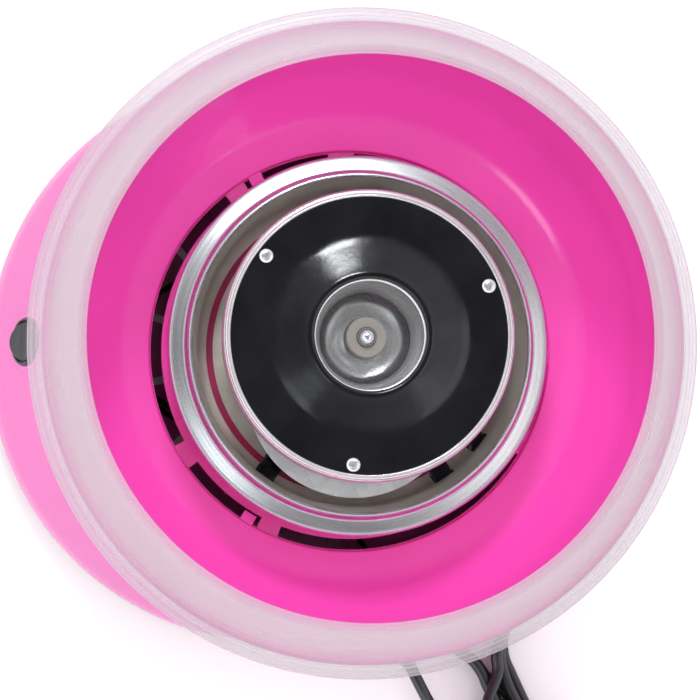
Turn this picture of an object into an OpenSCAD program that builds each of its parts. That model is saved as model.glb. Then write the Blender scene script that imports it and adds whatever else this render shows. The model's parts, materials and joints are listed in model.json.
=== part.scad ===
// Countertop cotton candy machine: a tapered base with its motor and heater,
// a spinning extractor head, a lift-off bowl and a snap-on rim guard.
// The spin axis is vertical, the front with the switch faces -Y, and z = 0 is the table.

/* [Base] */
// Radius of the base housing's widest band
base_r = 144.5; // [143.5:0.5:145.5]
// How far the widest band sits forward of the bowl's axis
base_forward = 26.5; // [25.5:0.5:27.5]
// How far the base and its motor sit to the side of the bowl's axis
base_side = -2.4; // [-3:0.2:0]
// Height of the housing's flat top
housing_top = 138; // [137.5:0.5:138.5]
// Wall thickness of the housing
housing_wall = 3; // [2:0.5:4]
// Height of the housing's lower edge above the table
housing_foot = 10; // [9:0.5:11]

/* [Bowl and guard] */
// Height of the bowl's rim
bowl_top = 223; // [221:1:225]
// Radius of the middle of the bowl's rim
bowl_rim_r = 141.7; // [140:0.1:143]
// Radius of the hole in the bowl's floor
bowl_hole_r = 93.3; // [92.8:0.1:94]
// Wall thickness of the bowl
bowl_wall = 2.4; // [2:0.1:3]
// Height of the rim guard's top edge
guard_top = 254; // [252:1:256]
// Radius of the opening in the rim guard
guard_mouth_r = 123; // [122:0.5:124]
// Outer radius of the rim guard's lip
guard_lip_r = 149; // [148:0.5:150]

/* [Collar and heater] */
// Outer radius of the polished collar ring
ring_r = 86.4; // [85:0.1:87]
// Inner radius of the collar ring's lip
ring_lip_r = 75.7; // [75:0.1:76.2]
// Height of the collar ring's lip
ring_top = 200.6; // [199:0.1:202]
// Radius of the tubular heater's circle
heater_r = 50; // [46:1:52]

/* [Extractor head] */
// Outer radius of the head's metal rim
head_r = 65; // [63:0.5:66]
// Height of the head's flat top
head_top = 226; // [225:0.5:227]
// Radius of the sugar opening
sugar_r = 24.7; // [23:0.1:26]
// Radius of the circle that the three rivets stand on
rivet_circle_r = 57.5; // [56:0.5:58]
// Angle of the first rivet, from +X towards +Y
rivet_first = 116; // [110:1:120]
// Radius of the spindle where the head fits
spindle_r = 4.2; // [4:0.1:4.5]
// Radial running clearance between the spindle and the head
running_gap = 0.05; // [0.02:0.01:0.1]

/* [Switch] */
// Radius of the switch's bezel
bezel_r = 12.2; // [12:0.1:13]
// Height of the switch's centre
switch_z = 55; // [54:0.5:56]
// Tilt of the rocker in its off position
rocker_tilt = 7; // [5:1:8]

/* [Cord] */
// Diameter of the power cord
cord_d = 6; // [5.5:0.1:6.5]
// Direction of the folded cord, measured from +X towards +Y
cord_azimuth = 29; // [28:1:30]
// Direction in which the cord leaves the base
exit_azimuth = 27; // [26:1:28]
// Height at which the cord leaves the base
exit_z = 20; // [19:0.5:21]

/* [Hidden] */
$fn = 72;

// The spin axis stands so that the object without its cord is centred on x = 0, y = 0.
axis_y = (base_r + base_forward - guard_lip_r) / 2;
gap = 0.3;
deck_top = housing_top + 7;
deck_floor = deck_top - 4;
cup_floor = deck_top + 7;
cup_r = ring_lip_r + 1.2;
head_floor = 198;
reflector_z = 174;
motor_z = 84;
stack_h = 20;
shaft_r = 3;
slot_in = 87.8;
slot_out = 92.8;
cord_r = cord_d / 2;
lead_angle = 9;
base_sides = 96;
switch_lean = 59;
switch_y = axis_y - 151;
motor_back = 1.2;

// Height, radius and forward shift of each level of the base's outline.
base_levels = [
    [housing_foot, base_r - 2.5, base_forward],
    [housing_foot + 3, base_r, base_forward],
    [22, base_r, base_forward],
    [30, base_r - 2, base_forward - 1],
    [55, base_r - 12, base_forward - 8],
    [90, base_r - 22.5, base_forward - 16.5],
    [124, base_r - 35.5, base_forward - 24],
    [housing_top, base_r - 43.5, 0]
];

// Route of the cord's free stretch: along and across the cord's own direction, and height.
lead_route = [
    [133, -27.2, 20], [147, -27.7, 20], [160, -27.8, 20], [172, -27.4, 18], [184, -26.4, 13],
    [196, -25.4, 7.5], [208, -25, 4], [220, -25, 3.1], [233, -25, 3], [245, -25, 3],
    [257, -22, 3], [267, -13, 3], [270, 0, 3], [267, 13, 3], [257, 22, 3],
    [245, 25, 3], [232, 24.5, 3], [220, 22.5, 3], [208, 18.5, 3], [199, 15, 3]
];
// Route of the cord's last stretch, from the top of the hank to the plug.
end_route = [[176, 0, 14], [184, 0, 17], [192, 0, 22], [200, 0, 26], [206, 0, 27]];
hank_near = 137;
hank_far = 247;
hank_half = 18;
hank_h = 18;
plug_s = 206;
plug_z = 27;
wire_r = 1.4;
// Routes of the wires inside the base: x, y from the spin axis, and height.
wire_routes = [
    [[108, 30, 21], [94, 26, 24], [78, 15, 26], [60, -20, 28], [36, -70, 30],
     [18, -100, 34], [8, -112, 40], [5, -119, 46]],
    [[-5, -119, 46], [-14, -108, 44], [-34, -80, 52], [-44, -40, 64], [-40, 10, 70],
     [-30, 36, 76], [-18, 50, 80]],
    [[0, -120, 50], [14, -104, 56], [34, -70, 74], [50, -34, 96], [52, -14, 110],
     [49.4, -7.8, 117]]
];

function unit(v) = v / norm(v);
function next_of(p, i) = p[min(i + 1, len(p) - 1)];
function last_of(p, i) = p[max(i - 1, 0)];
function along(p, i) = unit(next_of(p, i) - last_of(p, i));
function side_of(t) = abs(t[2]) > 0.95 ? unit(cross(t, [1, 0, 0])) : unit(cross(t, [0, 0, 1]));
function ring_points(c, t, r, sides) = let (a = side_of(t), b = cross(a, t))
    [for (k = [0:sides - 1]) c + r * (cos(360 * k / sides) * a + sin(360 * k / sides) * b)];

// A closed solid through rings of points that all have the same count.
module skin(rings) {
    count = len(rings);
    sides = len(rings[0]);
    walls = [for (i = [0:count - 2], k = [0:sides - 1]) let (m = (k + 1) % sides)
        each [[i * sides + k, (i + 1) * sides + k, (i + 1) * sides + m],
              [i * sides + k, (i + 1) * sides + m, i * sides + m]]];
    start = [for (k = [0:sides - 1]) k];
    finish = [for (k = [sides - 1:-1:0]) (count - 1) * sides + k];
    polyhedron([for (r = rings) each r], concat(walls, [start, finish]), convexity = 6);
}

// A tube of radius r swept through the points of a route.
module tube(route, r, sides) {
    skin([for (i = [0:len(route) - 1]) ring_points(route[i], along(route, i), r, sides)]);
}

module on_axis(z = 0) {
    translate([0, axis_y, z]) children();
}

// Where the motor, the spindle and the head stand.
module on_motor(z = 0) {
    translate([base_side, axis_y + motor_back, z]) children();
}

// The middle of the base's widest band.
module on_base(z = 0) {
    translate([base_side, axis_y - base_forward, z]) children();
}

module spread(count, r, first = 0) {
    for (i = [0:count - 1]) rotate([0, 0, first + i * 360 / count]) translate([r, 0, 0]) children();
}

module ring(r_in, r_out, h) {
    difference() {
        cylinder(r = r_out, h = h);
        translate([0, 0, -1]) cylinder(r = r_in, h = h + 2);
    }
}

// An arc of a ring between two radii, over an angle.
module arc(r_in, r_out, h, from, angle) {
    rotate([0, 0, from]) rotate_extrude(angle = angle) translate([r_in, 0]) square([r_out - r_in, h]);
}

module lying(s = 0, across = 0, z = 0) {
    on_axis() rotate([0, 0, cord_azimuth]) translate([s, across, z]) children();
}

module on_switch(depth = 0) {
    translate([0, switch_y, switch_z]) rotate([switch_lean, 0, 0]) translate([0, 0, depth]) children();
}

module on_exit(reach = 0) {
    on_base(exit_z) rotate([0, 0, exit_azimuth])
        translate([base_r + reach, 0, 0]) rotate([0, 90, 0]) children();
}

// The base's outline, brought in by a wall's thickness.
module base_form(inset) {
    on_axis() skin([for (l = base_levels) [for (k = [0:base_sides - 1]) let (a = 360 * k / base_sides)
        [(l[1] - inset) * cos(a) + base_side * l[2] / base_forward, (l[1] - inset) * sin(a) - l[2], l[0]]]]);
}

module base_housing() color([0.91, 0.27, 0.66]) {
    difference() {
        union() {
            difference() {
                union() {
                    base_form(0);
                    intersection() {
                        on_switch(-12) cylinder(r = bezel_r + 1.5, h = 12.6);
                        translate([-20, switch_y - 30, 20]) cube([40, 60, 80]);
                    }
                }
                translate([0, 0, -housing_wall]) base_form(housing_wall);
            }
            // Screw bosses
            on_base(housing_foot + 4.2) {
                spread(4, base_r - 7.5, 45) cylinder(r = 5.5, h = 13);
            }
        }
        on_axis(housing_top - 20) cylinder(r = 94.5, h = 30);
        on_switch(-20) cylinder(r = 10.8, h = 30);
        on_exit(-12) cylinder(r = 5.6, h = 24);
        on_base(housing_foot) {
            spread(4, base_r - 7.5, 45) cylinder(r = 1.9, h = 14);
        }
    }
}

module base_deck() color([0.88, 0.24, 0.62]) {
    slot_first = 222;
    difference() {
        on_axis() rotate_extrude() polygon([
            [14, deck_floor], [82, deck_floor], [82, housing_top], [98, housing_top],
            [98, deck_top - 1], [97, deck_top], [84.5, deck_top], [84.5, 187.9],
            [82, 187.9], [82, deck_top], [14, deck_top]
        ]);
        on_axis(housing_top - 1) {
            for (i = [0:2]) {
                arc(slot_in, slot_out, 9, slot_first + 120 * i, 80);
                arc(slot_in, slot_out, 9, slot_first + 87.5 + 120 * i, 26);
            }
        }
        on_axis(deck_floor - 1) {
            spread(3, 60, 0) cylinder(r = 1.7, h = 6);
            for (a = [-lead_angle, lead_angle]) rotate([0, 0, a]) translate([heater_r, 0, 0])
                cylinder(r = 3, h = 6);
        }
        on_motor(deck_floor - 1) spread(2, 37, 0) cylinder(r = 2.05, h = 6);
    }
    // Posts that the motor hangs from
    on_motor(120.5) spread(2, 37, 0) ring(2.05, 5, deck_floor - 120.5);
}

module base_plate() color([0.80, 0.20, 0.56]) {
    on_base(housing_foot + 1) {
        difference() {
            cylinder(r = base_r - housing_wall - 1.6, h = 3);
            spread(4, base_r - 7.5, 45) translate([0, 0, -1]) cylinder(r = 2.2, h = 5);
            spread(4, 105, 0) translate([0, 0, -1]) cylinder(r = 3.1, h = 5);
            for (i = [0:11]) {
                rotate([0, 0, i * 30 + 15]) translate([34, -2, -1]) cube([40, 4, 5]);
            }
        }
    }
}

module suction_feet() color([0.14, 0.14, 0.15]) {
    on_base() spread(4, 105, 0) rotate_extrude() polygon([
        [14.5, 0], [18, 0], [17.5, 1.6], [13, 4.6], [8.5, 8], [8, housing_foot + 1],
        [3, housing_foot + 1], [3, housing_foot + 4], [5, housing_foot + 4.2],
        [3.5, housing_foot + 7.5], [0, housing_foot + 7.5], [0, 7], [6, 6], [11, 3.2]
    ]);
}

module base_screws() color([0.62, 0.63, 0.65]) {
    on_base(housing_foot) spread(4, base_r - 7.5, 45) {
        difference() {
            translate([0, 0, -1.4]) cylinder(r = 3.6, h = 2.4);
            translate([0, 0, -1.5]) cylinder(r = 1.6, h = 1.2, $fn = 6);
        }
        translate([0, 0, 0.9]) cylinder(r = 1.8, h = 12);
    }
}

module collar_ring() color([0.76, 0.76, 0.78]) {
    on_axis() rotate_extrude($fn = 144) polygon([
        [cup_r + 0.1, 188], [ring_r - 0.4, 188], [ring_r, 188.6], [ring_r, 190.4],
        [ring_r - 0.4, 191.3], [ring_r - 1.4, 191.8], [79.4, 193], [78.4, 193.6],
        [77.9, 194.8], [77.9, ring_top - 1.3],
        [77.4, ring_top - 0.4], [76.6, ring_top], [ring_lip_r + 0.4, ring_top - 0.1],
        [ring_lip_r, ring_top - 0.6], [ring_lip_r, ring_top - 1.5], [cup_r + 0.1, ring_top - 1.5]
    ]);
}

module heater_cup() color([0.60, 0.58, 0.56]) {
    difference() {
        on_axis() rotate_extrude() polygon([
            [12, cup_floor], [cup_r - 9, cup_floor], [cup_r - 5, cup_floor + 1.6],
            [cup_r - 3.4, cup_floor + 6], [cup_r - 3.4, 178], [cup_r, 192],
            [cup_r, ring_top - 1.7], [cup_r - 1, ring_top - 1.7], [cup_r - 1, 192.2],
            [cup_r - 4.4, 178.2], [cup_r - 4.4, cup_floor + 6.4], [cup_r - 5.8, cup_floor + 2.6],
            [cup_r - 9.4, cup_floor + 1], [12, cup_floor + 1]
        ]);
        on_axis(cup_floor - 1) {
            spread(3, 60, 0) cylinder(r = 2.1, h = 3);
            for (a = [-lead_angle, lead_angle]) rotate([0, 0, a]) translate([heater_r, 0, 0])
                cylinder(r = 3.05, h = 3);
        }
    }
}

module cup_spacers() color([0.93, 0.92, 0.88]) {
    on_axis(deck_top) spread(3, 60, 0) ring(2.1, 5, cup_floor - deck_top);
}

module cup_screws() color([0.62, 0.63, 0.65]) {
    on_axis(deck_floor) spread(3, 60, 0) {
        cylinder(r = 1.6, h = cup_floor + 1 - deck_floor);
        translate([0, 0, cup_floor + 1 - deck_floor]) rotate_extrude()
            polygon([[0, 0], [3.6, 0], [3.4, 1.2], [2.2, 2], [0, 2.2]]);
    }
}

module cup_gasket() color([0.55, 0.05, 0.16]) {
    on_axis(cup_floor + 1) ring(64.5, cup_r - 9.5, 2);
}

// Folded sheet brackets that keep the reflector centred in the cup.
module cup_brackets() color([0.12, 0.12, 0.13]) {
    on_axis(168) for (a = [-32, 38, 56, 176]) rotate([0, 0, a]) {
        translate([59.4, -5, 0]) cube([12.9, 10, 1]);
        translate([60.4, -5, 1]) cube([8, 1, 9]);
        translate([71.3, -5, 1]) cube([1, 10, 6]);
    }
}

module heater_element() color([0.30, 0.24, 0.22]) {
    on_axis(188) rotate([0, 0, lead_angle]) rotate_extrude(angle = 360 - 2 * lead_angle)
        translate([heater_r, 0]) circle(r = 3.2, $fn = 32);
}

module heater_reflector() color([0.66, 0.67, 0.69]) {
    difference() {
        on_axis() rotate_extrude() polygon([
            [12, reflector_z], [56, reflector_z], [59.2, reflector_z + 4], [58.2, reflector_z + 4.4],
            [55.4, reflector_z + 1], [12, reflector_z + 1]
        ]);
        on_axis(reflector_z - 1) for (a = [-lead_angle, lead_angle])
            rotate([0, 0, a]) translate([heater_r, 0, 0]) cylinder(r = 4, h = 3);
    }
}

// Galvanised wings around the reflector that close the gap towards the cup
module heater_shield() color([0.60, 0.61, 0.63]) {
    on_axis(reflector_z + 4.6) linear_extrude(0.9) difference() {
        translate([20, 0]) circle(r = 49);
        circle(r = 57.6);
    }
}

module heater_posts() color([0.92, 0.91, 0.87]) {
    on_axis(cup_floor + 1) spread(3, 30, 60) cylinder(r = 4.5, h = reflector_z - cup_floor - 1);
}

module heater_brackets() color([0.12, 0.12, 0.13]) {
    on_axis(reflector_z + 1) spread(3, heater_r, 24) {
        difference() {
            translate([-6, -4, 0]) cube([11, 8, 17.4]);
            translate([0, 5, 13]) rotate([90, 0, 0]) cylinder(r = 3.6, h = 10);
        }
    }
}

module heater_leads() color([0.72, 0.72, 0.74]) {
    on_axis(118) for (a = [-lead_angle, lead_angle]) rotate([0, 0, a])
        translate([heater_r, 0, 0]) cylinder(r = 1.5, h = 70);
}

module lead_bushings() color([0.93, 0.92, 0.88]) {
    on_axis(deck_floor - 4) for (a = [-lead_angle, lead_angle]) rotate([0, 0, a])
        translate([heater_r, 0, 0]) {
            ring(1.6, 2.9, cup_floor + 8 - deck_floor);
            ring(1.6, 4.2, 3.9);
        }
}

module thermal_fuse() color([0.85, 0.82, 0.74]) {
    on_axis(reflector_z - 4) rotate([0, 0, 200]) translate([38, 0, 0]) {
        translate([0, 9, 0]) rotate([90, 0, 0]) cylinder(r = 3, h = 18);
        translate([0, 15, 0]) rotate([90, 0, 0]) cylinder(r = 0.7, h = 30);
        translate([-4, -2, 0]) cube([8, 4, 4]);
    }
}

module motor_stator() color([0.50, 0.51, 0.53]) {
    on_motor(motor_z) difference() {
        translate([-29.5, -26, 0]) cube([59, 84, stack_h]);
        translate([0, 0, -1]) cylinder(r = 17.6, h = stack_h + 2);
        translate([-20, 22, -1]) cube([40, 20, stack_h + 2]);
        for (x = [-26, 26]) translate([x, 0, -1]) cylinder(r = 2.05, h = stack_h + 2);
    }
}

module motor_coil() color([0.72, 0.42, 0.20]) {
    on_motor(motor_z) difference() {
        translate([-19.5, 24, -7]) cube([39, 48, stack_h + 14]);
        translate([-20, 41.5, -0.5]) cube([40, 17, stack_h + 1]);
    }
}

module bracket_plate(z, boss_z, boss_h, half) {
    on_motor() difference() {
        union() {
            translate([-half, -12, z]) cube([2 * half, 24, 2.5]);
            translate([0, 0, boss_z]) cylinder(r = 10, h = boss_h);
        }
        translate([0, 0, boss_z - 5]) cylinder(r = 7.5, h = boss_h + 10);
        for (x = [-26, 26]) translate([x, 0, z - 1]) cylinder(r = 2.05, h = 5);
        for (x = [-37, 37]) translate([x, 0, z - 1]) cylinder(r = 5.1, h = 5);
    }
}

module motor_bracket_top() color([0.70, 0.71, 0.73]) {
    bracket_plate(motor_z + stack_h, motor_z + stack_h, 11, 46);
}

module motor_bracket_bottom() color([0.70, 0.71, 0.73]) {
    bracket_plate(motor_z - 2.5, motor_z - 11, 11, 32);
}

module motor_bearings() color([0.70, 0.56, 0.30]) {
    on_motor(motor_z + stack_h + 3) ring(shaft_r + running_gap, 7.5, 8);
    on_motor(motor_z - 11) ring(shaft_r + running_gap, 7.5, 8);
}

module motor_bolts() color([0.60, 0.61, 0.63]) {
    on_motor(motor_z - 5) for (x = [-26, 26]) translate([x, 0, 0]) {
        cylinder(r = 2, h = stack_h + 12);
        translate([0, 0, -0.5]) cylinder(r = 3.8, h = 3);
        translate([0, 0, stack_h + 7.5]) cylinder(r = 3.8, h = 2.6, $fn = 6);
    }
}

module motor_grommets() color([0.15, 0.15, 0.16]) {
    on_motor() spread(2, 37, 0) rotate_extrude() polygon([
        [2.3, 99], [7, 99], [7, 103.9], [5, 103.9], [5, 106.6], [7, 106.6],
        [7, 120.4], [2.3, 120.4]
    ]);
}

module motor_screws() color([0.62, 0.63, 0.65]) {
    on_motor() spread(2, 37, 0) {
        translate([0, 0, 98.9]) cylinder(r = 2, h = deck_floor - 98.9);
        translate([0, 0, 96.3]) cylinder(r = 4, h = 2.6);
    }
}

module motor_rotor() color([0.55, 0.55, 0.57]) {
    on_motor(motor_z) {
        ring(shaft_r, 17.1, stack_h);
    }
}

module motor_shaft() color([0.78, 0.79, 0.80]) {
    on_motor(48) cylinder(r = shaft_r, h = 132);
}

module shaft_collars() color([0.66, 0.67, 0.69]) {
    on_motor(motor_z - 15) ring(shaft_r, 6, 3.7);
    on_motor(motor_z + stack_h + 11.3) ring(shaft_r, 6, 3.7);
}

module cooling_fan() color([0.85, 0.85, 0.83]) {
    on_motor(52) {
        ring(shaft_r, 8, 12);
        for (i = [0:6]) rotate([0, 0, i * 360 / 7]) translate([7, 0, 6]) rotate([34, 0, 0])
            translate([0, -7, -0.7]) cube([26, 14, 1.4]);
    }
}

module spindle_sleeve() color([0.80, 0.81, 0.82]) {
    on_motor() rotate_extrude() polygon(concat(
        [[0, 180], [shaft_r, 180], [shaft_r, 150], [spindle_r + 1.5, 150],
         [spindle_r + 1.5, 186], [spindle_r, 187.5]],
        [for (a = [0:10:90]) [spindle_r * cos(a), 213 + spindle_r * sin(a)]]
    ));
}

module drive_pin() color([0.74, 0.75, 0.77]) {
    on_motor(195.5) translate([0, 8.6, 0]) rotate([90, 0, 0]) cylinder(r = 1.5, h = 17.2);
}

module head_top_plate() color([0.10, 0.10, 0.12]) {
    difference() {
        on_motor() rotate_extrude($fn = 144) polygon([
            [sugar_r, 228.5], [sugar_r, head_top + 4.6], [sugar_r + 0.8, head_top + 5.3],
            [sugar_r + 2.2, head_top + 5.6], [sugar_r + 3.6, head_top + 5.2],
            [sugar_r + 4.6, head_top + 4.4], [42, head_top + 0.4], [44, head_top],
            [61.4, head_top], [61.4, head_top - 1.6], [44, head_top - 1.6],
            [29, head_top + 2.3]
        ]);
        on_motor(head_top - 3) spread(3, rivet_circle_r, rivet_first) cylinder(r = 1.65, h = 5);
    }
}

module head_rim_band() color([0.80, 0.80, 0.82]) {
    on_motor() rotate_extrude($fn = 144) polygon([
        [61.4, head_top], [61.5, head_top + 0.6], [62.2, head_top + 0.9], [63.2, head_top + 0.4],
        [head_r - 0.3, 222], [head_r, 220.5], [head_r, 217.6], [head_r - 0.4, 217.2],
        [63.6, 217.2], [63.6, 221], [62.2, head_top - 1.7], [61.4, head_top - 1.7]
    ]);
}

module head_screen() color([0.70, 0.70, 0.72]) {
    on_motor(head_floor + 2) {
        difference() {
            cylinder(r = 62.6, h = 21);
            translate([0, 0, -1]) cylinder(r = 62, h = 23);
            for (i = [0:11]) rotate([0, 0, i * 15 + 7.5]) translate([-70, -5, 5])
                cube([140, 10, 8]);
        }
    }
}

module head_funnel() color([0.66, 0.67, 0.68]) {
    on_motor() rotate_extrude() polygon([
        [20.3, head_floor + 6], [21.1, head_floor + 6], [sugar_r, 227.4], [28.4, 227.4],
        [28.4, 228.2], [sugar_r - 0.6, 228.2]
    ]);
}

module head_bottom_plate() color([0.62, 0.62, 0.64]) {
    difference() {
        on_motor() rotate_extrude() polygon([
            [9.3, head_floor], [61, head_floor], [63.8, head_floor + 1.4], [63.8, head_floor + 5],
            [62.8, head_floor + 5], [62.6, head_floor + 2], [60.6, head_floor + 1.2],
            [21.4, head_floor + 1.2], [20.3, head_floor + 2.6], [9.3, head_floor + 2.6]
        ]);
        on_motor(head_floor - 1) spread(3, rivet_circle_r, rivet_first) cylinder(r = 1.65, h = 5);
    }
}

module head_hub() color([0.70, 0.68, 0.62]) {
    on_motor() difference() {
        translate([0, 0, 191]) cylinder(r = 9.2, h = 20);
        translate([0, 0, 190]) cylinder(r = spindle_r + running_gap, h = 22);
        translate([-2, -10, 190]) cube([4, 20, 7.5]);
        translate([0, 0, 190]) cylinder(r = spindle_r + 0.6, h = 6);
    }
}

module head_washer() color([0.82, 0.78, 0.70]) {
    on_motor(211) ring(spindle_r + 0.3, 8.9, 0.8);
}

module head_rivets() color([0.84, 0.84, 0.86]) {
    on_motor() spread(3, rivet_circle_r, rivet_first) {
        translate([0, 0, head_floor - 1.1]) cylinder(r = 1.6, h = head_top - head_floor + 1.5);
        translate([0, 0, head_floor - 1.2]) cylinder(r = 3, h = 1.2);
        translate([0, 0, head_floor + 1.2]) ring(1.6, 2.6, head_top - head_floor - 2.8);
        translate([0, 0, head_top]) rotate_extrude()
            polygon([[0, 0], [3.2, 0], [3.1, 0.5], [2.2, 1.1], [0, 1.3]]);
    }
}

module bowl() color([0.93, 0.30, 0.68]) {
    bottom = deck_top + gap;
    w = bowl_wall;
    on_axis() {
        rotate_extrude($fn = 144) polygon([
            [bowl_hole_r, bottom], [104, bottom + 0.4], [110.6, bottom + 2], [116.9, bottom + 4.9],
            [123.2, bottom + 9], [129.1, 158.8], [134.1, 165.6], [137.9, 175.2], [140.4, 189.7],
            [141.8, 206], [bowl_rim_r + 1, bowl_top - 1.4],
            [bowl_rim_r + 0.5, bowl_top - 0.3], [bowl_rim_r, bowl_top], [bowl_rim_r - 0.8, bowl_top - 0.3],
            [bowl_rim_r - 1.3, bowl_top - 1.4], [141.8 - w, 206.2], [140.4 - w, 190.1],
            [137.9 - w * 0.95, 176], [134.1 - w * 0.87, 167], [129.1 - w * 0.7, 160.7],
            [123.2 - w * 0.55, bottom + 11.1], [116.9 - w * 0.44, bottom + 7.1],
            [110.6 - w * 0.28, bottom + 4.3], [103.6, bottom + 2.8],
            [bowl_hole_r + 0.6, bottom + w], [bowl_hole_r, bottom + w - 0.6]
        ]);
        // Three lugs that reach down through the deck's slots
        for (i = [0:2]) {
            translate([0, 0, bottom + 0.4]) arc(88.8, bowl_hole_r + 1, 1.6, 330 + 120 * i, 4);
            translate([0, 0, housing_top + 0.5])
                arc(88.8, 91.6, bottom + 1.5 - housing_top, 330 + 120 * i, 4);
        }
    }
}

module rim_guard() color([0.93, 0.86, 0.92, 0.55]) {
    on_axis() rotate_extrude($fn = 144) polygon([
        [guard_lip_r, 218.6], [guard_lip_r, 220.6], [guard_lip_r - 0.8, 221.2],
        [guard_lip_r - 1.6, 220.9], [145, 221.4], [144.8, 223.6], [144, 224.7],
        [140.6, 225.9], [138.9, 227.4], [127.8, 250.2], [127, guard_top - 1],
        [126.2, guard_top - 0.3], [guard_mouth_r + 0.4, guard_top], [guard_mouth_r, guard_top - 0.7],
        [guard_mouth_r + 0.1, guard_top - 1.4], [125.4, guard_top - 1.7], [126.2, 250],
        [137.4, 226.6], [139.6, 224.6], [143, 223.4], [143.5, 222.6], [143.6, 219.9],
        [147, 219.2], [147.6, 218.4], [guard_lip_r - 0.6, 218.2]
    ]);
}

module switch_bezel() color([0.07, 0.07, 0.08]) {
    on_switch() rotate_extrude() polygon([
        [10.4, -5], [10.75, -5], [10.75, 0.6], [bezel_r, 0.6], [bezel_r, 1.6],
        [bezel_r - 0.8, 2.6], [10.9, 2.8], [10.4, 2.3]
    ]);
}

module switch_body() color([0.09, 0.09, 0.10]) {
    on_switch(-24) cylinder(r = 10.3, h = 19);
}

module switch_terminals() color([0.80, 0.66, 0.36]) {
    on_switch(-33) for (x = [-5, 0, 5]) translate([x - 0.4, -2.4, 0]) cube([0.8, 4.8, 9]);
}

module rocker() color([0.05, 0.05, 0.06]) {
    on_switch(0.6) rotate([-rocker_tilt, 0, 0]) {
        difference() {
            intersection() {
                translate([0, 0, -3]) cylinder(r = 9.6, h = 6.6);
                translate([-12, 0, 0]) rotate([90, 0, 90]) linear_extrude(24)
                    polygon([[-12, -3], [12, -3], [12, 3.6], [5, 1.9], [0, 1.5], [-5, 1.9], [-12, 3.6]]);
            }
            translate([-5.5, 5.6, 1.9]) cube([11, 1.2, 3]);
            translate([-5.5, 3.6, 1.2]) cube([11, 1.2, 3]);
        }
        // Pivot pins
        rotate([0, 90, 0]) cylinder(r = 1.2, h = 20.4, center = true);
    }
}

module wiring() color([0.20, 0.20, 0.22]) {
    on_axis() for (w = wire_routes) tube(w, wire_r, 8);
}

module cord_clamp() color([0.10, 0.10, 0.11]) {
    on_exit(-24) difference() {
        translate([-5, -9, 0]) cube([11, 18, 9]);
        translate([0, 0, -1]) cylinder(r = cord_r + 0.2, h = 11);
    }
}

module strain_relief() color([0.06, 0.06, 0.07]) {
    on_exit() rotate_extrude() polygon([
        [cord_r, -12], [5.4, -12], [5.4, -3.4], [7.4, -3], [7.4, 0.8], [6.4, 1.6], [5.6, 3.4],
        [4.9, 12], [4.2, 22], [cord_r + 0.6, 26], [cord_r, 26]
    ]);
}

module power_cord() color([0.05, 0.05, 0.06]) {
    lying() tube(lead_route, cord_r - 0.02, 10);
}

module cord_hank() color([0.06, 0.06, 0.07]) {
    lying(0, 0, 0) linear_extrude(hank_h) union() {
        translate([hank_near + hank_half, 0]) circle(r = hank_half);
        translate([hank_far - hank_half, 0]) circle(r = hank_half);
        translate([hank_near + hank_half, -hank_half])
            square([hank_far - hank_near - 2 * hank_half, 2 * hank_half]);
    }
}

module cord_end() color([0.05, 0.05, 0.06]) {
    lying() tube(end_route, cord_r - 0.02, 10);
}

module plug_body() color([0.06, 0.06, 0.07]) {
    lying(plug_s, 0, plug_z) hull() {
        rotate([0, 90, 0]) cylinder(r = 4.6, h = 1, $fn = 32);
        translate([10, -8, -6.5]) cube([1, 16, 13]);
        translate([12, -11, -8]) cube([14, 22, 16]);
        translate([12, -9.5, -8.7]) cube([14, 19, 17.4]);
    }
}

module plug_blades() color([0.78, 0.70, 0.50]) {
    lying(plug_s + 26, 0, plug_z) for (y = [-6.35, 6.35]) difference() {
        translate([0, y - 0.75, -3.2]) cube([15, 1.5, 6.4]);
        translate([11.5, y + 2, 0]) rotate([90, 0, 0]) cylinder(r = 1.5, h = 4);
    }
}

base_housing();
base_deck();
base_plate();
suction_feet();
base_screws();
collar_ring();
heater_cup();
cup_spacers();
cup_screws();
cup_gasket();
cup_brackets();
heater_element();
heater_reflector();
heater_shield();
heater_posts();
heater_brackets();
heater_leads();
lead_bushings();
thermal_fuse();
motor_stator();
motor_coil();
motor_bracket_top();
motor_bracket_bottom();
motor_bearings();
motor_bolts();
motor_grommets();
motor_screws();
motor_rotor();
motor_shaft();
shaft_collars();
cooling_fan();
spindle_sleeve();
drive_pin();
head_top_plate();
head_rim_band();
head_screen();
head_funnel();
head_bottom_plate();
head_hub();
head_washer();
head_rivets();
bowl();
rim_guard();
switch_bezel();
switch_body();
switch_terminals();
rocker();
wiring();
cord_clamp();
strain_relief();
power_cord();
cord_hank();
cord_end();
plug_body();
plug_blades();
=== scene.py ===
import json
import math

import bmesh
import bpy
import numpy as np
from mathutils import Matrix, Vector


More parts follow.
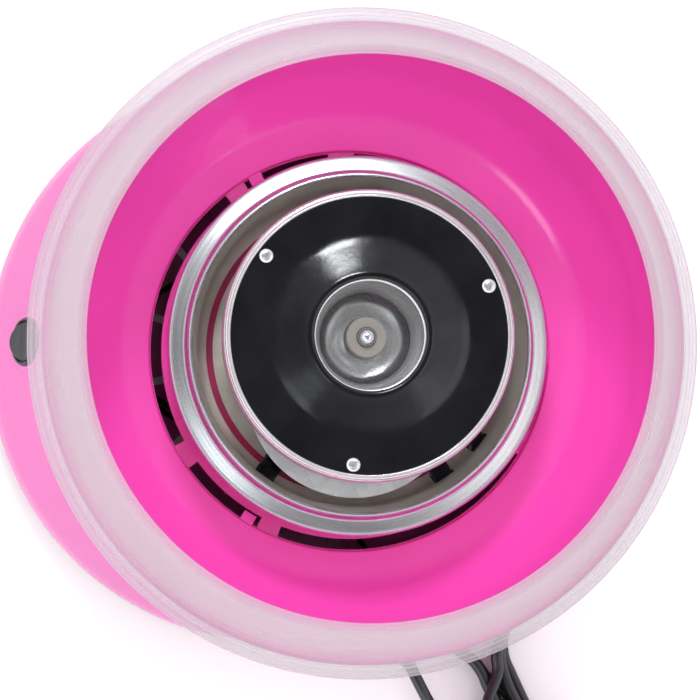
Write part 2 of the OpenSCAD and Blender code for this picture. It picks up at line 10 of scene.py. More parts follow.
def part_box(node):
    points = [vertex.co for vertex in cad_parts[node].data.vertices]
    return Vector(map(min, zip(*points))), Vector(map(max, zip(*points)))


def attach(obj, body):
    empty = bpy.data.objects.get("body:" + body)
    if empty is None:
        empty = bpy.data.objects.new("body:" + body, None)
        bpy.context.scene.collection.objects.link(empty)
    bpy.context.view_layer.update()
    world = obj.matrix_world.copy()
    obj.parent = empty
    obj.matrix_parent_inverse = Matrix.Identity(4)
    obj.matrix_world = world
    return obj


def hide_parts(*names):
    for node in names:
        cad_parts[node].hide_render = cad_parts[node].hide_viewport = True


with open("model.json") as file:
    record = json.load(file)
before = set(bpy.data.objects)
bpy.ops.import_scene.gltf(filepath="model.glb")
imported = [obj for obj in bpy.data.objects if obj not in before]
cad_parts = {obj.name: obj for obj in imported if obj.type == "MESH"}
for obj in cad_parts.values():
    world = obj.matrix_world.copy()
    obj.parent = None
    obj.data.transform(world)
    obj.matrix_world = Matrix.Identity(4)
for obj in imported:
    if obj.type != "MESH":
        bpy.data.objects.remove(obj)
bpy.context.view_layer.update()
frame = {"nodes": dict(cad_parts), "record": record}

mm = 0.001
scene = bpy.context.scene
ringLow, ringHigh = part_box("collar_ring")
baseLow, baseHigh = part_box("base_housing")
headLow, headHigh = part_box("head_rim_band")
bowlY = (ringLow[1] + ringHigh[1]) / 2  # the bowl's axis stands at x = 0
headX, headY = (headLow[0] + headHigh[0]) / 2, (headLow[1] + headHigh[1]) / 2
baseX, baseY = (baseLow[0] + baseHigh[0]) / 2, (baseLow[1] + baseHigh[1]) / 2


def direction(heading, rise=0.0):
    # unit vector at a heading from +X towards +Y and a rise above the table, in degrees
    h, r = math.radians(heading), math.radians(rise)
    return Vector((math.cos(h) * math.cos(r), math.sin(h) * math.cos(r), math.sin(r)))


# camera
eye = {"target": (0.003, bowlY - 0.0048, 0.200), "heading": -56.2, "rise": 83.7, "distance": 1.347,
       "upHeading": -176.75, "lens": 154.3}


def makeCamera(e):
    # looks from the heading and rise at the target, with the picture's top towards upHeading
    back = direction(e["heading"], e["rise"])
    right = direction(e["upHeading"]).cross(back).normalized()
    up = back.cross(right)
    place = Vector(e["target"]) + back * e["distance"]
    data = bpy.data.cameras.new("camera")
    data.lens = e["lens"]
    data.sensor_width = 36
    data.clip_start = 0.05
    data.clip_end = 20
    obj = bpy.data.objects.new("camera", data)
    obj.matrix_world = Matrix((
        (right.x, up.x, back.x, place.x),
        (right.y, up.y, back.y, place.y),
        (right.z, up.z, back.z, place.z),
        (0, 0, 0, 1)))
    scene.collection.objects.link(obj)
    scene.camera = obj


makeCamera(eye)
print("camera placed")


# materials
class Paint:
    # a node material on Object coordinates, built up by small helpers
    def __init__(self, name, color, metallic=0.0, roughness=0.4):
        self.mat = bpy.data.materials.new(name)
        self.mat.use_nodes = True
        self.tree = self.mat.node_tree
        self.shader = self.tree.nodes["Principled BSDF"]
        self.set("Base Color", (*color, 1.0))
        self.set("Metallic", metallic)
        self.set("Roughness", roughness)
        self.mat.diffuse_color = (*color, 1.0)
        self.coords = self.node("ShaderNodeTexCoord").outputs["Object"]

    def node(self, kind, **values):
        n = self.tree.nodes.new(kind)
        for key, value in values.items():
            setattr(n, key, value)
        return n

    def link(self, a, b):
        self.tree.links.new(a, b)

    def set(self, socket, value):
        self.shader.inputs[socket].default_value = value

    def stretched(self, scale, move=(0, 0, 0)):
        # Object coordinates moved, then scaled per axis
        n = self.node("ShaderNodeMapping")
        n.inputs["Location"].default_value = move
        n.inputs["Scale"].default_value = scale
        self.link(self.coords, n.inputs["Vector"])
        return n.outputs["Vector"]

    def polar(self, centre, radial, angular, upward):
        # radius, sine of the angle about an upright axis and height, each times its own factor
        split = self.node("ShaderNodeSeparateXYZ")
        self.link(self.stretched((1, 1, 1), (-centre[0], -centre[1], 0)), split.inputs[0])
        x, y, z = split.outputs
        flat = self.node("ShaderNodeCombineXYZ")
        self.link(x, flat.inputs[0])
        self.link(y, flat.inputs[1])
        radius = self.node("ShaderNodeVectorMath", operation="LENGTH")
        self.link(flat.outputs[0], radius.inputs[0])
        joined = self.node("ShaderNodeCombineXYZ")
        self.link(self.math("MULTIPLY", radius.outputs["Value"], radial), joined.inputs[0])
        turn = self.math("ARCTAN2", y, x)
        self.link(self.math("MULTIPLY", self.math("SINE", turn, 0), angular), joined.inputs[1])
        self.link(self.math("MULTIPLY", z, upward), joined.inputs[2])
        return joined.outputs[0]

    def math(self, operation, a, b):
        n = self.node("ShaderNodeMath", operation=operation)
        for socket, value in zip(n.inputs, (a, b)):
            if isinstance(value, (int, float)):
                socket.default_value = value
            else:
                self.link(value, socket)
        return n.outputs[0]

    def noise(self, vector, scale, detail=3.0, rough=0.5):
        n = self.node("ShaderNodeTexNoise")
        n.inputs["Scale"].default_value = scale
        n.inputs["Detail"].default_value = detail
        n.inputs["Roughness"].default_value = rough
        self.link(vector, n.inputs["Vector"])
        return n.outputs["Fac"]

    def cells(self, vector, scale, feature="F1"):
        n = self.node("ShaderNodeTexVoronoi", feature=feature)
        n.inputs["Scale"].default_value = scale
        self.link(vector, n.inputs["Vector"])
        return n

    def ramp(self, factor, stops):
        # colours along a factor, as (place, colour) pairs
        n = self.node("ShaderNodeValToRGB")
        elements = n.color_ramp.elements
        for place, color in stops[2:]:
            elements.new(place)
        for element, (place, color) in zip(elements, sorted(stops)):
            element.position = place
            element.color = (*color, 1.0)
        self.link(factor, n.inputs["Fac"])
        return n.outputs["Color"]

    def spanned(self, factor, low, high, fromLow=0.3, fromHigh=0.7):
        # a factor brought from one range to another
        n = self.node("ShaderNodeMapRange")
        sockets = ("From Min", "From Max", "To Min", "To Max")
        for socket, value in zip(sockets, (fromLow, fromHigh, low, high)):
            n.inputs[socket].default_value = value
        self.link(factor, n.inputs["Value"])
        return n.outputs["Result"]

    def color(self, output):
        self.link(output, self.shader.inputs["Base Color"])

    def rough(self, output):
        self.link(output, self.shader.inputs["Roughness"])

    def bump(self, height, strength, distance):
        n = self.node("ShaderNodeBump")
        n.inputs["Strength"].default_value = strength
        n.inputs["Distance"].default_value = distance
        self.link(height, n.inputs["Height"])
        previous = self.shader.inputs["Normal"]
        if previous.is_linked:
            self.link(previous.links[0].from_socket, n.inputs["Normal"])
        self.link(n.outputs["Normal"], previous)


def shaded(color, factor):
    return tuple(c * factor for c in color)


def pinkPlastic(name, color, roughness):
    # glossy moulded plastic: faint flow marks in its colour, a fine skin and slight waviness
    p = Paint(name, color, 0.0, roughness)
    flow = p.noise(p.stretched((1, 1, 2.2)), 9.0, 4.0, 0.55)
    p.color(p.ramp(flow, [(0.25, shaded(color, 0.95)), (0.75, shaded(color, 1.04))]))
    p.rough(p.spanned(p.noise(p.coords, 55.0, 3.0), roughness * 0.88, roughness * 1.15))
    p.bump(p.noise(p.coords, 900.0, 2.0), 0.05, 0.0004)
    p.bump(p.noise(p.coords, 14.0, 2.0), 0.06, 0.002)
    p.set("IOR", 1.49)
    p.set("Coat Weight", 0.5)
    p.set("Coat Roughness", 0.10)
    return p.mat


def frostedPlastic():
    # translucent moulded plastic: a milky veil, thicker where it is seen edge on, with faint flow lines
    p = Paint("frostedGuard", (0.46, 0.41, 0.45), 0.0, 0.26)
    flow = p.noise(p.stretched((1, 1, 5)), 12.0, 3.0, 0.5)
    p.color(p.ramp(flow, [(0.3, (0.445, 0.395, 0.435)), (0.7, (0.475, 0.425, 0.465))]))
    p.rough(p.spanned(flow, 0.23, 0.29))
    p.bump(p.noise(p.coords, 500.0, 2.0), 0.02, 0.0001)
    edge = p.node("ShaderNodeLayerWeight")
    edge.inputs["Blend"].default_value = 0.35
    p.link(p.spanned(edge.outputs["Facing"], 0.42, 0.85, 0.0, 0.9), p.shader.inputs["Alpha"])
    p.set("IOR", 1.45)
    p.set("Transmission Weight", 0.15)
    return p.mat


def polishedSteel():
    # polished metal with hair-fine turning lines round the spin axis
    p = Paint("polishedSteel", (0.66, 0.67, 0.70), 1.0, 0.24)
    lines = p.noise(p.polar((0, bowlY), 900.0, 2.0, 900.0), 1.0, 3.0, 0.6)
    p.rough(p.spanned(lines, 0.20, 0.30))
    p.color(p.ramp(p.noise(p.coords, 30.0, 3.0), [(0.3, (0.62, 0.63, 0.66)), (0.7, (0.70, 0.71, 0.73))]))
    p.bump(lines, 0.03, 0.0002)
    p.set("Anisotropic", 0.35)
    return p.mat


def cupSteel():
    # drawn steel, browned by heat, with uneven tarnish and upright draw marks
    p = Paint("cupSteel", (0.72, 0.68, 0.63), 0.4, 0.45)
    stain = p.noise(p.stretched((1, 1, 0.5)), 60.0, 5.0, 0.6)
    p.color(p.ramp(stain,
    [(0.25, (0.66, 0.61, 0.55)), (0.6, (0.80, 0.75, 0.69)), (0.8, (0.90, 0.86, 0.82))]))
    p.rough(p.spanned(stain, 0.36, 0.55))
    p.bump(p.noise(p.stretched((1, 1, 0.08)), 700.0, 2.0), 0.05, 0.0003)
    return p.mat


def zincSteel():
    # galvanised sheet: flat spangles of slightly different greys
    p = Paint("zincSteel", (0.74, 0.75, 0.77), 0.5, 0.42)
    spangle = p.cells(p.coords, 240.0)
    grey = p.node("ShaderNodeSeparateColor")
    p.link(spangle.outputs["Color"], grey.inputs[0])
    p.color(p.ramp(grey.outputs[0], [(0.0, (0.68, 0.69, 0.71)), (1.0, (0.80, 0.81, 0.83))]))
    p.rough(p.spanned(grey.outputs[1], 0.34, 0.52, 0.0, 1.0))
    p.bump(p.noise(p.coords, 300.0, 3.0), 0.08, 0.0004)
    return p.mat


def blackEnamel():
    # fired black enamel on pressed sheet: deep gloss with a fine orange peel
    p = Paint("blackEnamel", (0.004, 0.004, 0.006), 0.0, 0.16)
    peel = p.noise(p.coords, 420.0, 3.0)
    shade = p.noise(p.coords, 35.0, 4.0)
    p.color(p.ramp(shade, [(0.3, (0.003, 0.003, 0.004)), (0.7, (0.007, 0.007, 0.009))]))
    p.rough(p.spanned(p.noise(p.coords, 90.0, 4.0), 0.12, 0.22))
    p.bump(peel, 0.05, 0.0004)
    p.set("IOR", 1.42)
    return p.mat


def turnedAluminium():
    # spun sheet: circular tool lines that spread the light sideways
    p = Paint("spunAluminium", (0.62, 0.62, 0.63), 0.85, 0.28)
    lines = p.noise(p.polar((headX, headY), 1400.0, 2.0, 500.0), 1.0, 3.0, 0.65)
    p.rough(p.spanned(lines, 0.20, 0.36))
    p.color(p.ramp(p.noise(p.coords, 40.0, 4.0), [(0.3, (0.56, 0.56, 0.57)), (0.7, (0.68, 0.68, 0.69))]))
    p.bump(lines, 0.05, 0.0002)
    p.set("Anisotropic", 0.5)
    return p.mat


def plainMetal(name, color, roughness, grain):
    # plated or bare metal: patchy sheen over a fine grain
    p = Paint(name, color, 1.0, roughness)
    patch = p.noise(p.coords, grain, 4.0, 0.6)
    p.color(p.ramp(patch, [(0.3, shaded(color, 0.82)), (0.7, shaded(color, 1.12))]))
    p.rough(p.spanned(patch, roughness * 0.8, roughness * 1.25))
    p.bump(p.noise(p.coords, grain * 6, 2.0), 0.06, 0.0003)
    return p.mat


def laminations():
    # thin stamped sheets stacked upwards
    p = Paint("laminatedSteel", (0.22, 0.22, 0.23), 1.0, 0.5)
    sheets = p.node("ShaderNodeTexWave", wave_type="BANDS", bands_direction="Z")
    sheets.inputs["Scale"].default_value = 320.0
    p.link(p.coords, sheets.inputs["Vector"])
    p.color(p.ramp(sheets.outputs["Fac"], [(0.2, (0.12, 0.12, 0.13)), (0.8, (0.30, 0.30, 0.31))]))
    p.bump(sheets.outputs["Fac"], 0.3, 0.0004)
    return p.mat


def winding():
    # lacquered copper wire laid in even turns
    p = Paint("copperWinding", (0.45, 0.17, 0.07), 0.8, 0.35)
    turns = p.node("ShaderNodeTexWave", wave_type="BANDS", bands_direction="X")
    turns.inputs["Scale"].default_value = 260.0
    turns.inputs["Distortion"].default_value = 0.6
    p.link(p.coords, turns.inputs["Vector"])
    p.color(p.ramp(turns.outputs["Fac"], [(0.15, (0.16, 0.05, 0.02)), (0.7, (0.55, 0.22, 0.09))]))
    p.bump(turns.outputs["Fac"], 0.5, 0.0006)
    return p.mat


def rubber(name, color, roughness, grain):
    # soft matt rubber: uneven sheen, dusty patches and a fine pebble
    p = Paint(name, color, 0.0, roughness)
    patch = p.noise(p.coords, 40.0, 4.0, 0.6)
    p.color(p.ramp(patch, [(0.3, shaded(color, 0.8)), (0.75, shaded(color, 1.5))]))
    p.rough(p.spanned(patch, roughness * 0.85, roughness * 1.2))
    p.bump(p.noise(p.coords, grain, 2.0), 0.12, 0.0003)
    return p.mat


def mattePlastic(name, color, roughness):
    # matt moulding or fired ceramic: a chalky grain with slight staining
    p = Paint(name, color, 0.0, roughness)
    stain = p.noise(p.coords, 70.0, 5.0, 0.6)
    p.color(p.ramp(stain, [(0.3, shaded(color, 0.86)), (0.7, shaded(color, 1.03))]))
    p.rough(p.spanned(stain, roughness * 0.9, roughness * 1.1))
    p.bump(p.noise(p.coords, 1100.0, 3.0), 0.1, 0.0003)
    return p.mat


finishes = {
    "pink_shell": pinkPlastic("pinkShell", (0.82, 0.078, 0.47), 0.15),
    "pink_base": pinkPlastic("pinkBase", (0.50, 0.083, 0.30), 0.22),
    "pink_deck": pinkPlastic("pinkDeck", (0.72, 0.050, 0.37), 0.30),
    "frosted_guard": frostedPlastic(),
    "black_plastic": rubber("blackPlastic", (0.010, 0.010, 0.012), 0.24, 700.0),
    "black_enamel": blackEnamel(),
    "rubber_feet": rubber("footRubber", (0.020, 0.020, 0.022), 0.62, 500.0),
    "cord_rubber": rubber("cordRubber", (0.010, 0.010, 0.012), 0.30, 650.0),
    "polished_steel": polishedSteel(),
    "cup_steel": cupSteel(),
    "zinc_steel": zincSteel(),
    "spun_aluminium": turnedAluminium(),
    "screw_steel": plainMetal("screwSteel", (0.50, 0.50, 0.52), 0.32, 150.0),
    "ceramic": mattePlastic("ceramic", (0.84, 0.81, 0.74), 0.7),
    "heater_sheath": plainMetal("heaterSheath", (0.12, 0.085, 0.075), 0.55, 90.0),
    "laminated_steel": laminations(),
    "copper_winding": winding(),
    "bronze": plainMetal("bronze", (0.48, 0.33, 0.15), 0.45, 260.0),
    "fan_plastic": mattePlastic("fanPlastic", (0.72, 0.72, 0.69), 0.45),
    "brass_contact": plainMetal("brassContact", (0.62, 0.46, 0.20), 0.25, 120.0),
    "hub_fibre": mattePlastic("hubFibre", (0.22, 0.20, 0.18), 0.5),
    # the cup gasket's dark red is painted shade: a dark disc standing in for the pink base seen in shadow
    # deep inside the cup
    "gasket_red": rubber("gasketPaintedShade", (0.30, 0.010, 0.07), 0.6, 400.0),
}
slotOf = {s["node"]: s["material_slot"] for s in frame["record"]["subparts"]}
bodyOf = {n: b for b, members in frame["record"]["behaviour"]["bodies"].items() for n in members}
for nodeName, node in frame["nodes"].items():
    node.data.materials.clear()
    node.data.materials.append(finishes[slotOf[nodeName]])
print("materials made:", len(finishes))


# mesh helpers
def addPiece(name, points, faces, cadNode, sharp=35.0, standsFor=True):
    # a mesh from arrays, smooth but for edges sharper than an angle, riding with its CAD node's body
    mesh = bpy.data.meshes.new(name)
    points = np.asarray(points, dtype=np.float64).reshape(-1, 3)
    sizes = [len(f) for f in faces] if isinstance(faces, list) else np.full(len(faces), faces.shape[1])
    flat = np.concatenate([np.asarray(f) for f in faces]) if isinstance(faces, list) else faces.ravel()
    starts = np.concatenate([[0], np.cumsum(sizes)[:-1]])
    mesh.vertices.add(len(points))
    mesh.vertices.foreach_set("co", points.ravel())
    mesh.loops.add(len(flat))
    mesh.loops.foreach_set("vertex_index", np.asarray(flat, dtype=np.int32))
    mesh.polygons.add(len(sizes))
    mesh.polygons.foreach_set("loop_start", np.asarray(starts, dtype=np.int32))
    mesh.update(calc_edges=True)
    mesh.validate()
    mesh.shade_smooth()
    mesh.set_sharp_from_angle(angle=math.radians(sharp))
    obj = bpy.data.objects.new(name, mesh)
    scene.collection.objects.link(obj)
    mesh.materials.append(finishes[slotOf[cadNode]])
    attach(obj, bodyOf[cadNode])
    if standsFor:
        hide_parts(cadNode)
    return obj


def gridFaces(rows, columns, closeRows, closeColumns, flip=False):
    # quads between neighbouring points of a grid, round the end of a closed direction
    i = np.arange(rows if closeRows else rows - 1)[:, None]
    j = np.arange(columns if closeColumns else columns - 1)[None, :]
    a, b = i * columns + j, i * columns + (j + 1) % columns
    c, d = (i + 1) % rows * columns + (j + 1) % columns, (i + 1) % rows * columns + j
    quads = np.stack([a, d, c, b] if flip else [a, b, c, d], axis=-1)
    return quads.reshape(-1, 4)


def softened(outline, cut, steps=4, closed=True):
    # every corner becomes a quadratic curve that starts and ends cut away from it,
    # or half a side if that is less
    p = np.asarray(outline, dtype=float)
    before, after = np.roll(p, 1, axis=0), np.roll(p, -1, axis=0)
    cut = np.broadcast_to(np.asarray(cut, dtype=float), (len(p),))[:, None]

    def towards(q):
        gap = q - p
        long = np.linalg.norm(gap, axis=1, keepdims=True)
        return p + gap * np.minimum(cut, 0.5 * long) / np.maximum(long, 1e-9)

    a, b = towards(before), towards(after)
    if not closed:
        a[0], b[0], a[-1], b[-1] = p[0], p[0], p[-1], p[-1]
    t = np.linspace(0, 1, steps + 1)[None, :, None]
    curve = (1 - t) ** 2 * a[:, None] + 2 * t * (1 - t) * p[:, None] + t ** 2 * b[:, None]
    curve = curve.reshape(-1, 2)
    keep = np.linalg.norm(curve - np.roll(curve, 1, axis=0), axis=1) > 1e-4
    keep[0] = True
    return curve[keep]


def turned(name, outline, cadNode, sides=256, centre=(0, bowlY), closed=True, sharp=35.0, standsFor=True):
    # an outline of (radius, height) in mm carried round an upright axis
    outline = np.asarray(outline, dtype=float)
    r, z = outline[:, 0] * mm, outline[:, 1] * mm
    turn = np.linspace(0, 2 * np.pi, sides, endpoint=False)
    x = r[:, None] * np.cos(turn) + centre[0]
    y = r[:, None] * np.sin(turn) + centre[1]
    points = np.stack([x, y, np.broadcast_to(z[:, None], x.shape)], axis=-1)
    area = np.sum(outline[:, 0] * np.roll(outline[:, 1], -1) - np.roll(outline[:, 0], -1) * outline[:, 1])
    faces = gridFaces(len(outline), sides, closed, True, flip=area < 0)
    if not closed:
        last = (len(outline) - 1) * sides
        faces = [*faces.tolist(), list(range(sides))[::-1], list(range(last, last + sides))]
        if area < 0:
            faces[-2:] = [f[::-1] for f in faces[-2:]]
    return addPiece(name, points, faces, cadNode, sharp, standsFor)


def placedOn(points, origin, across, along, out):
    # points in a local frame of three axes, brought into the model's frame
    axes = np.array([across, along, out], dtype=float)
    return np.asarray(origin, dtype=float) + np.asarray(points) @ axes


def cleaned(cadNode, sharp=30.0, bevel=0.0):
    # a merged copy of a CAD node with smooth faces, so that its round walls don't show their flats
    mesh = frame["nodes"][cadNode].data.copy()
    edit = bmesh.new()
    edit.from_mesh(mesh)
    bmesh.ops.remove_doubles(edit, verts=edit.verts, dist=2e-6)
    bmesh.ops.dissolve_limit(edit, angle_limit=math.radians(0.5), verts=edit.verts, edges=edit.edges)
    edit.to_mesh(mesh)
    edit.free()
    mesh.shade_smooth()
    mesh.set_sharp_from_angle(angle=math.radians(sharp))
    obj = bpy.data.objects.new("clean_" + cadNode, mesh)
    scene.collection.objects.link(obj)
    if bevel:
        b = obj.modifiers.new("edge", "BEVEL")
        b.width = bevel
        b.segments = 2
        b.limit_method = "ANGLE"
        b.angle_limit = math.radians(40)
        b.harden_normals = False
    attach(obj, bodyOf[cadNode])
    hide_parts(cadNode)
    return obj


# power cord
cord = {
    "diameter": 6.0, "azimuth": 29.0, "foldRadius": 15.0, "easeRadius": 24.0, "waist": 6.2,
    "nearTip": 140.0, "farTip": 244.0, "turns": 2, "layer": 6.1, "lowest": 3.2,
    # along and across the cord's own direction, and height, as in the CAD source
    "lead": [[133, -27.2, 20], [147, -27.7, 20], [160, -27.8, 20], [172, -27.4, 18], [184, -26.4, 13],
             [196, -25.4, 7.5], [208, -25, 4], [220, -25, 3.1], [233, -25, 3], [245, -25, 3],
             [257, -22, 3], [267, -13, 3], [270, 0, 3], [267, 13, 3], [257, 22, 3], [245, 25, 3],
             [232, 24.5, 3], [220, 22.5, 3], [208, 18.5, 3], [199, 15, 3]],
    "end": [[192, -1.5, 20.5], [200, 0, 25.5], [206, 0, 27], [212, 0, 27]],
}


def alongCord(points):
    # (along, across, height) in mm to the model's frame
    a = math.radians(cord["azimuth"])
    p = np.asarray(points, dtype=float) * mm
    return np.stack([p[:, 0] * math.cos(a) - p[:, 1] * math.sin(a),
                     p[:, 0] * math.sin(a) + p[:, 1] * math.cos(a) + bowlY, p[:, 2]], axis=1)


def flowing(points, steps):
    # Catmull-Rom curve through the points, with its ends carried on straight
    p = np.asarray(points, dtype=float)
    q = np.concatenate([[2 * p[0] - p[1]], p, [2 * p[-1] - p[-2]]])
    t = np.linspace(0, 1, steps, endpoint=False)[None, :, None]
    a, b, c, d = (q[k:len(q) - 3 + k, None] for k in range(4))
    curve = 0.5 * (2 * b + (c - a) * t + (2 * a - 5 * b + 4 * c - d) * t ** 2
                   + (3 * b - a - 3 * c + d) * t ** 3)
    return np.concatenate([curve.reshape(-1, p.shape[1]), p[-1:]])


def hankRoute(c):
    # folds and straights as arcs of known radius: the heading is the running sum of the turning
    big, small = c["easeRadius"], c["foldRadius"]
    lean = math.acos((2 * big + 2 * c["waist"]) / (2 * big + 2 * small))
    straight = c["farTip"] - c["nearTip"] - 2 * small - 2 * (big + small) * math.sin(lean)
    fold = [(big * lean, 1 / big), (small * (math.pi + 2 * lean), -1 / small), (big * lean, 1 / big)]
    pieces = [*fold] + [(straight, 0.0), *fold] * 2 * c["turns"]
    step = 1.0
    turning = np.concatenate([np.full(max(1, round(long / step)), long * bend / max(1, round(long / step)))
                              for long, bend in pieces])
    steps = np.concatenate([np.full(max(1, round(long / step)), long / max(1, round(long / step)))
                            for long, bend in pieces])
    heading = math.pi + np.cumsum(turning) - turning / 2
    x = np.concatenate([[0], np.cumsum(steps * np.cos(heading))])
    y = np.concatenate([[0], np.cumsum(steps * np.sin(heading))])
    start = c["nearTip"] + small + (big + small) * math.sin(lean)
    done = np.concatenate([[0], np.cumsum(steps)])
    lap = 2 * (straight + 2 * big * lean + small * (math.pi + 2 * lean))
    level = np.clip((done - done[-1] + c["turns"] * lap) / lap, 0, c["turns"])
    # upper turns are squeezed together where the tie holds them
    middle = (c["nearTip"] + c["farTip"]) / 2
    along = start + x
    squeeze = 1 - 0.25 * level * np.exp(-((along - middle) / 26) ** 2)
    return np.stack([along, (c["waist"] + y) * squeeze, c["lowest"] + c["layer"] * level], axis=1)


def tubeCurve(name, path, radius, cadNode):
    data = bpy.data.curves.new(name, "CURVE")
    data.dimensions = "3D"
    data.bevel_depth = radius
    data.bevel_resolution = 5
    data.use_fill_caps = True
    line = data.splines.new("POLY")
    line.points.add(len(path) - 1)
    line.points.foreach_set("co", np.concatenate([path, np.ones((len(path), 1))], axis=1).ravel())
    line.use_smooth = True
    obj = bpy.data.objects.new(name, data)
    scene.collection.objects.link(obj)
    data.materials.append(finishes[slotOf[cadNode]])
    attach(obj, bodyOf[cadNode])
    return obj


def evenly(path, step):
    # the same curve with points a step apart
    far = np.concatenate([[0], np.cumsum(np.linalg.norm(np.diff(path, axis=0), axis=1))])
    at = np.linspace(0, far[-1], int(far[-1] / step) + 1)
    return np.stack([np.interp(at, far, path[:, k]) for k in range(3)], axis=1)


hank = hankRoute(cord)
joined = np.concatenate([cord["lead"], hank[::8], cord["end"]])
cordPath = alongCord(evenly(flowing(joined, 8), 1.5))
powerCord = tubeCurve("powerCord", cordPath, cord["diameter"] / 2 * mm, "power_cord")
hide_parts("power_cord", "cord_hank", "cord_end")
cordOut = Vector(direction(cord["azimuth"]))
cordSide = Vector((-cordOut.y, cordOut.x, 0))


relief = {"heading": 27.0, "height": 20.0, "long": 26.0, "wide": 5.6, "narrow": 3.7, "ribs": 6}


def strainRelief(r):
    # outline of radius along its length: a flange, then a taper cut by even grooves
    s = np.linspace(3.0, r["long"], 160)
    taper = r["wide"] + (r["narrow"] - r["wide"]) * (s - 3.0) / (r["long"] - 3.0)
    wave = np.clip(np.cos((s - 3.0) / (r["long"] - 6.0) * 2 * np.pi * r["ribs"]) * 3.0, -1, 1)
    radius = taper - 0.28 * (1 - wave) * (s < r["long"] - 3.5)
    flange = softened([[3.05, -12], [5.3, -12], [5.3, -3], [7.3, -3], [7.3, 0.9], [6.6, 1.7], [5.7, 3.0]],
                      0.5, 4, False)
    tail = softened([[r["narrow"], r["long"]], [3.05, r["long"] + 0.4], [3.05, 10.0]], 0.3, 4, False)
    outline = np.concatenate([flange, np.stack([radius, s], axis=1), tail])
    out = direction(r["heading"])
    side = Vector((-out.y, out.x, 0))
    origin = Vector((baseX, baseY, r["height"] * mm)) + out * (baseHigh[0] - baseLow[0]) / 2
    turn = np.linspace(0, 2 * np.pi, 64, endpoint=False)
    local = np.stack([outline[:, :1] * np.cos(turn), outline[:, :1] * np.sin(turn),
                      np.broadcast_to(outline[:, 1:], (len(outline), 64))], axis=-1).reshape(-1, 3) * mm
    points = placedOn(local, origin, side, (0, 0, 1), out)
    faces = gridFaces(len(outline), 64, True, True, flip=False)
    return addPiece("cordRelief", points, faces, "strain_relief")


cordRelief = strainRelief(relief)

plug = {"start": 206.0, "height": 27.0,
        # place along the plug, half width, half height, squareness
        "sections": [[-7.0, 3.6, 3.6, 2.0], [-6.5, 4.1, 4.1, 2.0], [-1.0, 4.5, 4.5, 2.0],
                     [0.5, 4.7, 4.7, 2.0], [4.0, 6.2, 5.6, 2.4], [9.0, 8.6, 7.0, 3.0],
                     [12.0, 10.2, 8.0, 3.6], [15.0, 10.7, 8.4, 4.0], [24.6, 10.9, 8.5, 4.5],
                     [25.6, 10.5, 8.1, 4.5], [26.0, 9.8, 7.4, 4.5]]}


def plugBody(p):
    # rounded sections (superellipses) carried along the plug, with shallow grip grooves across its sides
    s = np.asarray(p["sections"])
    place = np.concatenate([np.linspace(-7.0, 24.6, 130), [25.0, 25.4, 25.7, 25.9, 26.0]])
    a, b, n = (np.interp(place, s[:, 0], s[:, k])[:, None] for k in (1, 2, 3))
    groove = 0.35 * (np.cos((place - 13.0) / 2.2 * 2 * np.pi) > 0.2) * (place > 13) * (place < 23.5)
    turn = np.linspace(0, 2 * np.pi, 96, endpoint=False)
    c, d = np.cos(turn), np.sin(turn)
    across = (a - groove[:, None]) * np.sign(c) * np.abs(c) ** (2 / n)
    up = b * np.sign(d) * np.abs(d) ** (2 / n)
    local = np.stack([across, up, np.broadcast_to(place[:, None], across.shape)], axis=-1).reshape(-1, 3) * mm
    origin = alongCord([[p["start"], 0, p["height"]]])[0]
    points = placedOn(local, origin, cordSide, (0, 0, 1), cordOut)
    rows = len(place)
    faces = [*gridFaces(rows, 96, False, True).tolist(), list(range(96))[::-1],
             list(range((rows - 1) * 96, rows * 96))]
    return addPiece("plugMoulding", points, faces, "plug_body", 50.0)


plugMoulding = plugBody(plug)

tie = {"at": 196.5, "wide": 5.0, "thick": 0.7, "half": 9.7, "low": 0.1, "high": 18.9}


def cordTie(t):
    # a flat band whose outline is a rounded box round the bundle
    corner = 5.5
    outline = softened([[-t["half"], t["low"]], [t["half"], t["low"]],
                        [t["half"], t["high"]], [-t["half"], t["high"]]],
                       corner, 8)
    middle = np.array([0, (t["low"] + t["high"]) / 2])
    span = np.array([t["half"], (t["high"] - t["low"]) / 2])
    inner = middle + (outline - middle) * (1 - t["thick"] / span)
    ends = np.array([-0.5, 0.5]) * t["wide"]
    rings = [(outline, ends[0]), (outline, ends[1]), (inner, ends[1]), (inner, ends[0])]
    local = np.concatenate([np.concatenate([o, np.full((len(o), 1), e)], axis=1) for o, e in rings]) * mm
    origin = alongCord([[t["at"], 0, 0]])[0]
    points = placedOn(local, origin, cordSide, (0, 0, 1), cordOut)
    faces = gridFaces(4, len(outline), True, True)
    return addPiece("cordTie", points, faces, "cord_hank", 30.0, standsFor=False)


cordBand = cordTie(tie)
blades = cleaned("plug_blades", 30.0, 0.0002)
print("cord pieces made")


# base
base = {
    # height, radius and forward shift at each level of the outline
    "levels": [[10, 142.0, 26.5], [11.4, 143.7, 26.5], [14, 144.5, 26.5], [22, 144.5, 26.5],
               [30, 142.5, 25.5], [55, 132.5, 18.5], [90, 122, 10], [124, 109, 2.5], [134, 103.6, 0.6],
               [138, 100, 0], [138, 94.6, 0]],
    "wall": 3.0, "sides": 288,
}


